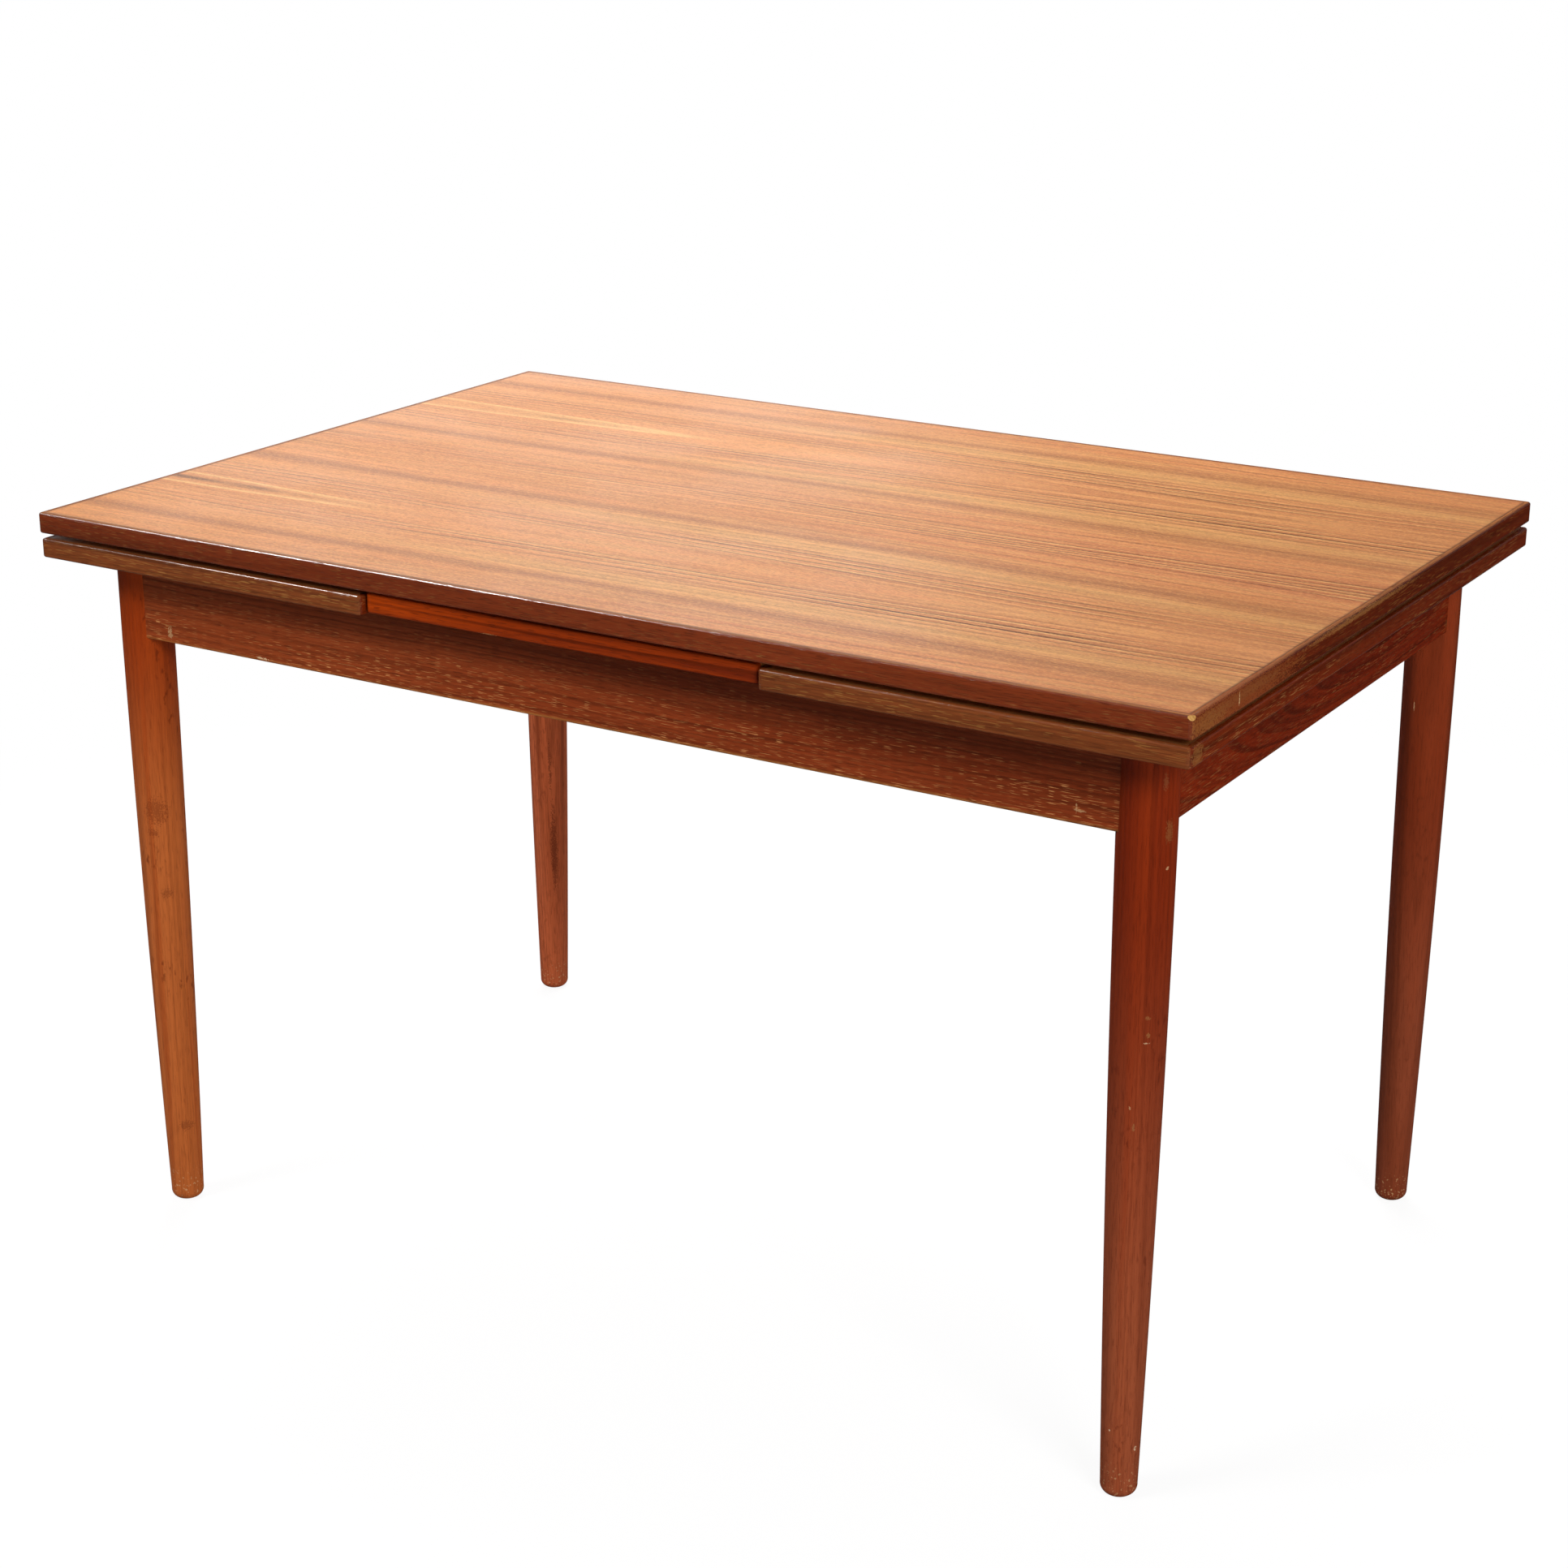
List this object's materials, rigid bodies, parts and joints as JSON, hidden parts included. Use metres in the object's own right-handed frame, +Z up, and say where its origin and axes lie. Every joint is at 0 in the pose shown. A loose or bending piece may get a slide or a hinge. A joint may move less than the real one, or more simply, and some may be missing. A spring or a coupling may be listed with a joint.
{
  "type": "draw-leaf dining table",
  "caption": "Rectangular teak dining table with turned tapering legs and plain aprons; an end leaf draws out on sloping runners from under each end of a loose lipped top.",
  "frame": {"origin": "on the floor under the middle of the top", "axes": "+X along the table's length to the right leaf, +Y from the front apron to the back, +Z up"},
  "size_m": [1.206, 0.797, 0.74],
  "materials": {
    "teak_veneer": "oiled satin",
    "teak_lipping": "oiled satin",
    "red_lipping": "polished",
    "leg_teak": "oiled satin",
    "apron_teak": "oiled satin",
    "beech": "raw planed",
    "screw_steel": "dull",
    "green_felt": "felt"
  },
  "bodies": {
    "frame": {"back_apron": "apron_teak", "bearer_back_left": "beech", "bearer_back_right": "beech", "bearer_front_left": "beech", "bearer_front_right": "beech", "bearer_screws": "screw_steel", "corner_block_back_left": "beech", "corner_block_back_right": "beech", "corner_block_front_left": "beech", "corner_block_front_right": "beech", "corner_block_screws": "screw_steel", "cross_rail": "beech", "felt_pads": "green_felt", "fixed_board": "teak_veneer", "fixed_board_lipping_back": "red_lipping", "fixed_board_lipping_front": "red_lipping", "fixed_board_screws": "screw_steel", "front_apron": "apron_teak", "left_end_rail": "apron_teak", "leg_back_left": "leg_teak", "leg_back_right": "leg_teak", "leg_front_left": "leg_teak", "leg_front_right": "leg_teak", "right_end_rail": "apron_teak"},
    "loose_top": {"guide_peg_left": "beech", "guide_peg_right": "beech", "top_lipping_back": "teak_lipping", "top_lipping_front": "teak_lipping", "top_lipping_left": "teak_lipping", "top_lipping_right": "teak_lipping", "top_panel": "teak_veneer"},
    "left_leaf": {"left_leaf_lipping_back": "teak_lipping", "left_leaf_lipping_front": "teak_lipping", "left_leaf_lipping_left": "teak_lipping", "left_leaf_lipping_right": "teak_lipping", "left_leaf_panel": "teak_veneer", "left_leaf_runner_screws": "screw_steel", "left_leaf_stop_dowels": "beech", "left_runner_back": "beech", "left_runner_front": "beech"},
    "right_leaf": {"right_leaf_lipping_back": "teak_lipping", "right_leaf_lipping_front": "teak_lipping", "right_leaf_lipping_left": "teak_lipping", "right_leaf_lipping_right": "teak_lipping", "right_leaf_panel": "teak_veneer", "right_leaf_runner_screws": "screw_steel", "right_leaf_stop_dowels": "beech", "right_runner_back": "beech", "right_runner_front": "beech"}
  },
  "joints": [
    {"name": "left_leaf_draw", "type": "slide", "parent": "frame", "child": "left_leaf", "axis": [-0.9999, 0, 0.0127], "range_m": [0, 0.39403]},
    {"name": "right_leaf_draw", "type": "slide", "parent": "frame", "child": "right_leaf", "axis": [0.9999, 0, 0.0127], "range_m": [0, 0.39403]},
    {"name": "top_lift", "type": "slide", "parent": "frame", "child": "loose_top", "axis": [0, 0, 1], "range_m": [0, 0.03]}
  ]
}
